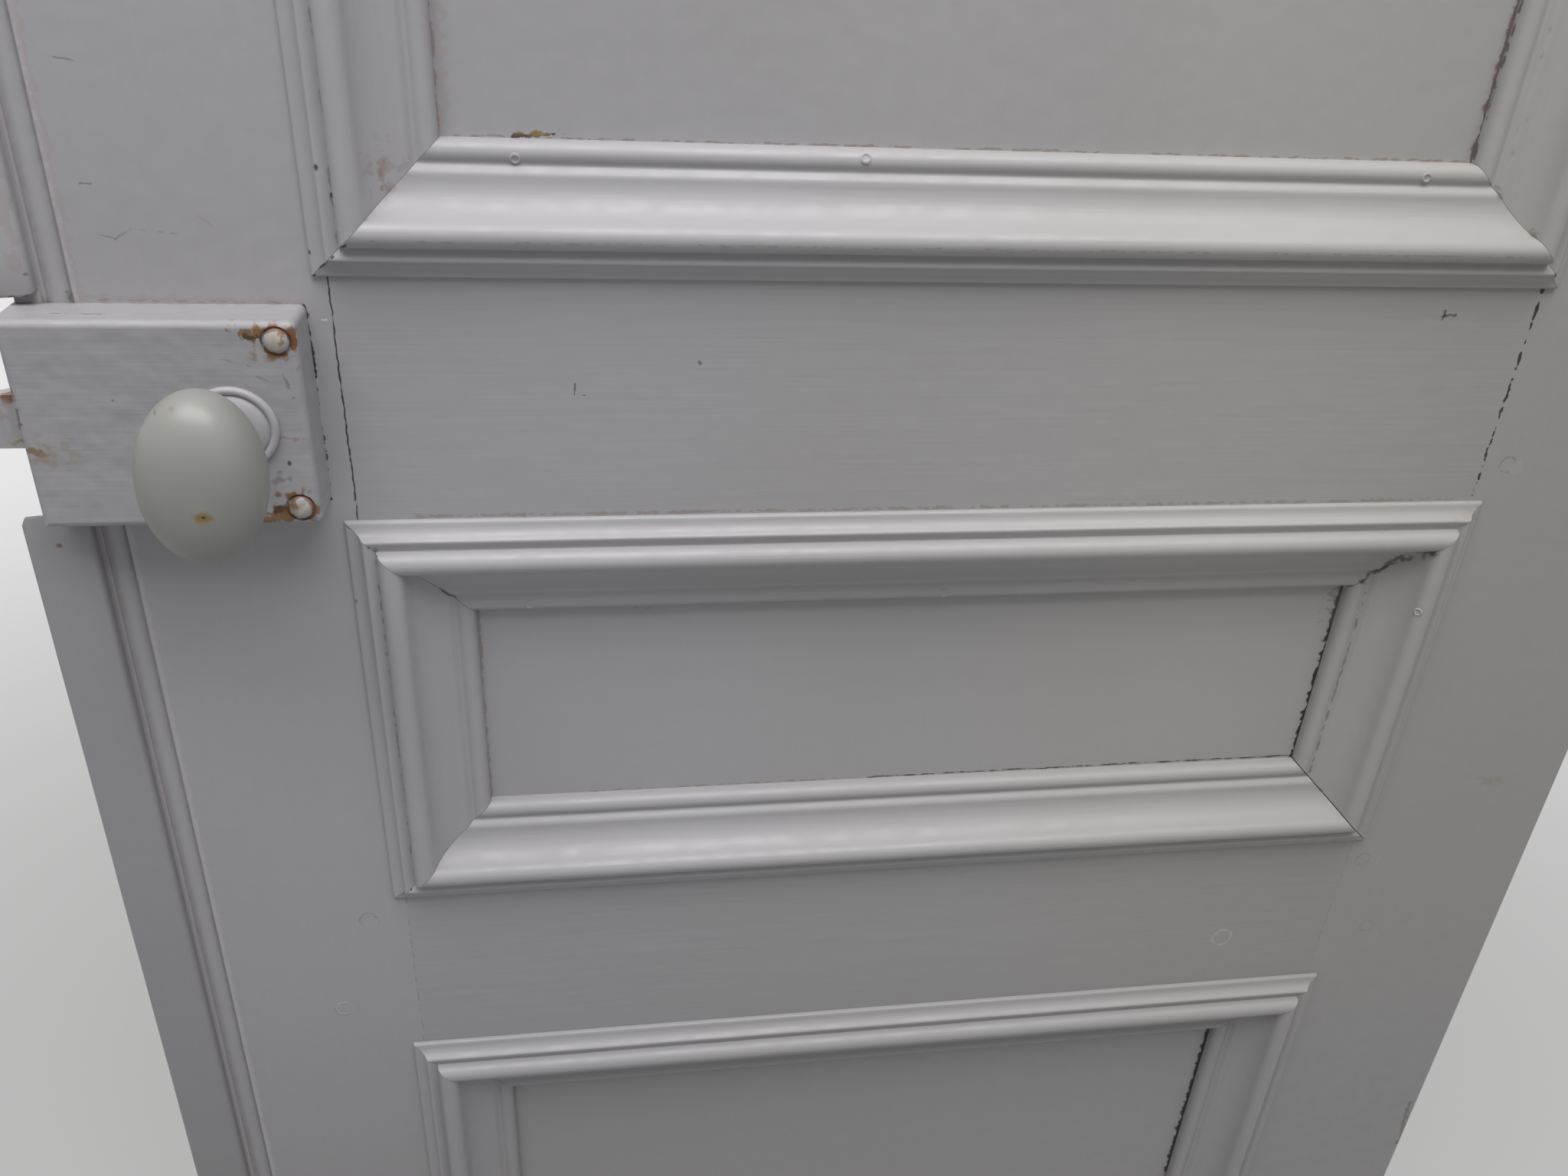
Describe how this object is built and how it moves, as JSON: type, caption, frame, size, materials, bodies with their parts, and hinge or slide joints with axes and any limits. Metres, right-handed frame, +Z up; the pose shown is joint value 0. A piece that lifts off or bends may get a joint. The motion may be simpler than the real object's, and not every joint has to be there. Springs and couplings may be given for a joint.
{
  "type": "panelled front door",
  "caption": "Painted front door leaf with heavily moulded panels, a rim lock in a painted case, oval china knobs, a beaded cover strip and butt hinges.",
  "frame": {"origin": "middle of the leaf's bottom edge", "axes": "+Z up the leaf, +X from the lock edge to the hinge edge, +Y from the room side, which carries the lock, to the outside"},
  "size_m": [0.82, 0.205, 2.032],
  "materials": {
    "painted_wood": "thick satin oil paint, many coats, warm grey white",
    "bare_wood": "painted over at the ends",
    "painted_metal": "the same thick paint as the leaf",
    "rusty_iron": "painted over, rust at the rims",
    "worn_iron": "paint worn through to brown metal",
    "steel": "dull, oiled",
    "aged_brass": "dull, tarnished",
    "china": "glossy glaze"
  },
  "bodies": {
    "frame_side": {"frame_flap_top": "painted_metal", "frame_flap_middle": "painted_metal", "frame_flap_bottom": "painted_metal", "hinge_pins": "worn_iron"},
    "leaf": {"bottom_panel": "painted_wood", "bottom_panel_inside_moulding_bottom": "painted_wood", "bottom_panel_inside_moulding_left": "painted_wood", "bottom_panel_inside_moulding_right": "painted_wood", "bottom_panel_inside_moulding_top": "painted_wood", "bottom_panel_outside_moulding_bottom": "painted_wood", "bottom_panel_outside_moulding_left": "painted_wood", "bottom_panel_outside_moulding_right": "painted_wood", "bottom_panel_outside_moulding_top": "painted_wood", "bottom_rail": "painted_wood", "cover_strip_lower": "painted_wood", "cover_strip_upper": "painted_wood", "dead_bolt_spring": "steel", "door_flap_bottom": "painted_metal", "door_flap_middle": "painted_metal", "door_flap_top": "painted_metal", "door_hinge_screws": "rusty_iron", "hinge_stile": "painted_wood", "inside_rose": "painted_metal", "latch_spring": "steel", "lock_back_plate": "steel", "lock_case": "painted_metal", "lock_rail": "painted_wood", "lock_screws": "rusty_iron", "lock_stile": "painted_wood", "middle_panel": "painted_wood", "middle_panel_inside_moulding_bottom": "painted_wood", "middle_panel_inside_moulding_left": "painted_wood", "middle_panel_inside_moulding_right": "painted_wood", "middle_panel_inside_moulding_top": "painted_wood", "middle_panel_outside_moulding_bottom": "painted_wood", "middle_panel_outside_moulding_left": "painted_wood", "middle_panel_outside_moulding_right": "painted_wood", "middle_panel_outside_moulding_top": "painted_wood", "middle_rail": "painted_wood", "outside_rose": "aged_brass", "rose_screws": "aged_brass", "tenon_pegs": "bare_wood", "top_panel": "painted_wood", "top_panel_inside_moulding_bottom": "painted_wood", "top_panel_inside_moulding_left": "painted_wood", "top_panel_inside_moulding_right": "painted_wood", "top_panel_inside_moulding_top": "painted_wood", "top_panel_outside_moulding_bottom": "painted_wood", "top_panel_outside_moulding_left": "painted_wood", "top_panel_outside_moulding_right": "painted_wood", "top_panel_outside_moulding_top": "painted_wood", "top_rail": "painted_wood"},
    "knobs": {"follower": "steel", "spindle": "steel", "inside_neck": "aged_brass", "inside_knob": "china", "outside_neck": "aged_brass", "outside_knob": "china"},
    "latch": {"latch_bolt": "worn_iron"},
    "bolt": {"dead_bolt": "steel"}
  },
  "joints": [
    {"name": "leaf_swing", "type": "hinge", "parent": "frame_side", "child": "leaf", "pos_m": [0.39925, -0.0275, 0], "axis": [0, 0, 1], "range_deg": [0, 115]},
    {"name": "knob_turn", "type": "hinge", "parent": "leaf", "child": "knobs", "pos_m": [-0.31575, 0, 0.9995], "axis": [0, 1, 0], "range_deg": [0, 53.7]},
    {"name": "latch_slide", "type": "slide", "parent": "leaf", "child": "latch", "axis": [1, 0, 0], "range_m": [0, 0.015], "deforming": ["latch_spring"]},
    {"name": "dead_bolt_slide", "type": "slide", "parent": "leaf", "child": "bolt", "axis": [-1, 0, 0], "range_m": [0, 0.013]}
  ],
  "couplings": [
    {"joint": "latch_slide", "follows": "knob_turn", "m_per_rad": 0.016}
  ]
}
